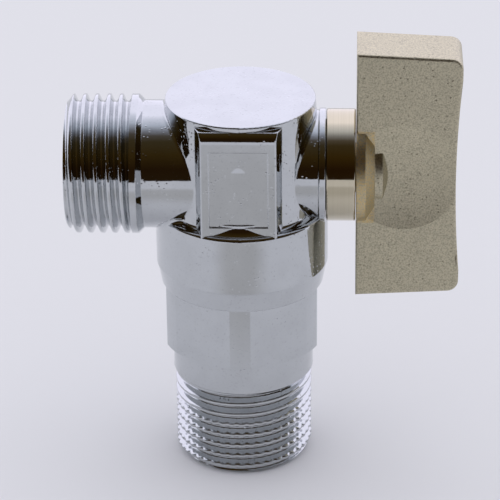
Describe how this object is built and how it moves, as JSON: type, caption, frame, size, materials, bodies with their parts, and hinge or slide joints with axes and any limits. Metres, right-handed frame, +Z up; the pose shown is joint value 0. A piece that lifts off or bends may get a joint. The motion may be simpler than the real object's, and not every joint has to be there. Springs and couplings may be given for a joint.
{
  "type": "angle stop valve",
  "caption": "Quarter-turn angle stop valve: threaded inlet nipple with hexagon, threaded side outlet and a flat wing handle opposite the outlet.",
  "frame": {"origin": "middle of the inlet's end face, on the inlet's axis", "axes": "+Z up the inlet's axis into the valve, -X along the outlet's axis out of the outlet, +X along the stem towards the handle"},
  "size_m": [0.0583, 0.0258, 0.0676],
  "materials": {
    "chrome_plate": "bright chrome plate over forged brass",
    "ball_chrome": "polished chrome plate over brass",
    "turned_nickel": "turned and nickel-plated",
    "blasted_nickel": "bead-blasted nickel plate over a zinc casting",
    "turned_brass": "turned brass",
    "seat_plastic": "plain white fluoropolymer",
    "black_rubber": "moulded black rubber",
    "zinc_steel": "zinc-plated steel"
  },
  "bodies": {
    "valve": {"valve_body": "chrome_plate", "inlet_seat": "seat_plastic", "upper_seat": "seat_plastic", "upper_seat_o_ring": "black_rubber", "seat_retainer": "turned_brass", "retainer_o_ring": "black_rubber", "stem_thrust_washer_inner": "seat_plastic", "stem_thrust_washer_outer": "seat_plastic", "bonnet": "turned_nickel", "bonnet_o_ring": "black_rubber"},
    "turning_set": {"handle": "blasted_nickel", "handle_spring_washer": "zinc_steel", "handle_screw": "zinc_steel", "stem": "turned_brass", "stem_o_ring_inner": "black_rubber", "stem_o_ring_outer": "black_rubber", "ball": "ball_chrome"}
  },
  "joints": [
    {"name": "handle_turn", "type": "hinge", "parent": "valve", "child": "turning_set", "pos_m": [0, 0, 0.048], "axis": [-1, 0, 0], "range_deg": [0, 90]}
  ]
}
